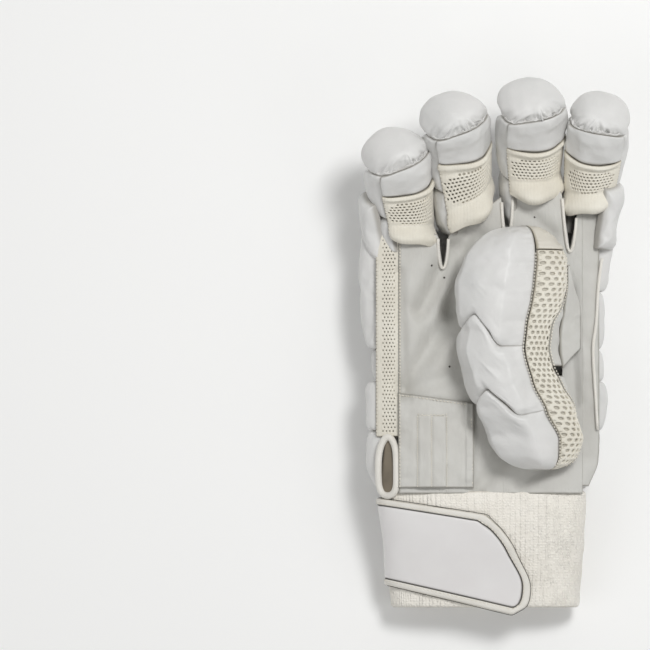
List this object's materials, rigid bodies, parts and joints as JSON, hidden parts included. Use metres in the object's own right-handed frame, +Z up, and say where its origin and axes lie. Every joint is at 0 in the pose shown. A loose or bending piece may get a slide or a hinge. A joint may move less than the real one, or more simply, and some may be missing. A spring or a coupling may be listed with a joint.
{
  "type": "cricket batting glove",
  "caption": "Right-hand batting glove, palm up, with padded finger and back rolls, folded thumb, knitted vents and a strapped cuff",
  "frame": {"origin": "middle of the underside of the glove as it lies on its padded back", "axes": "+X to the thumb side, +Y to the fingertips, +Z up out of the palm"},
  "size_m": [0.1448, 0.292, 0.0816],
  "materials": {
    "pad_leather": "soft white grain leather over foam",
    "palm_leather": "smooth thin pale grey leather",
    "knit": "cream knitted mesh with small holes",
    "towelling": "cream elastic towelling",
    "strap": "smooth white coated leather",
    "trim": "cream folded binding tape"
  },
  "bodies": {
    "root": {"palm_leather": "palm_leather", "heel_patch": "palm_leather", "side_mesh": "knit", "side_panel": "palm_leather", "back_roll_1": "pad_leather", "back_roll_2": "pad_leather", "back_roll_3": "pad_leather", "back_roll_4": "pad_leather", "back_roll_5": "pad_leather", "little_side_pad": "pad_leather", "little_tip_cap": "pad_leather", "little_palm_wrap": "pad_leather", "little_mesh": "knit", "little_mid_roll": "pad_leather", "little_base_roll": "pad_leather", "ring_tip_cap": "pad_leather", "ring_palm_wrap": "pad_leather", "ring_mesh": "knit", "ring_mid_roll": "pad_leather", "ring_base_roll": "pad_leather", "middle_tip_cap": "pad_leather", "middle_palm_wrap": "pad_leather", "middle_mesh": "knit", "middle_mid_roll": "pad_leather", "middle_base_roll": "pad_leather", "index_tip_cap": "pad_leather", "index_palm_wrap": "pad_leather", "index_mesh": "knit", "index_mid_roll": "pad_leather", "index_base_roll": "pad_leather", "little_knuckle_pad": "pad_leather", "index_knuckle_pad": "pad_leather", "thumb_pad_1": "pad_leather", "thumb_pad_2": "pad_leather", "thumb_pad_3": "pad_leather", "thumb_mesh": "knit", "thumb_tip_flap": "palm_leather", "thumb_inner_leather": "palm_leather", "thumb_base_leather": "palm_leather", "thumb_web": "palm_leather", "cuff_band": "towelling", "strap": "strap", "strap_binding": "trim", "slit_binding": "trim", "side_piping": "trim", "slit_piping_1": "trim", "slit_piping_2": "trim", "slit_piping_3": "trim"}
  },
  "joints": []
}
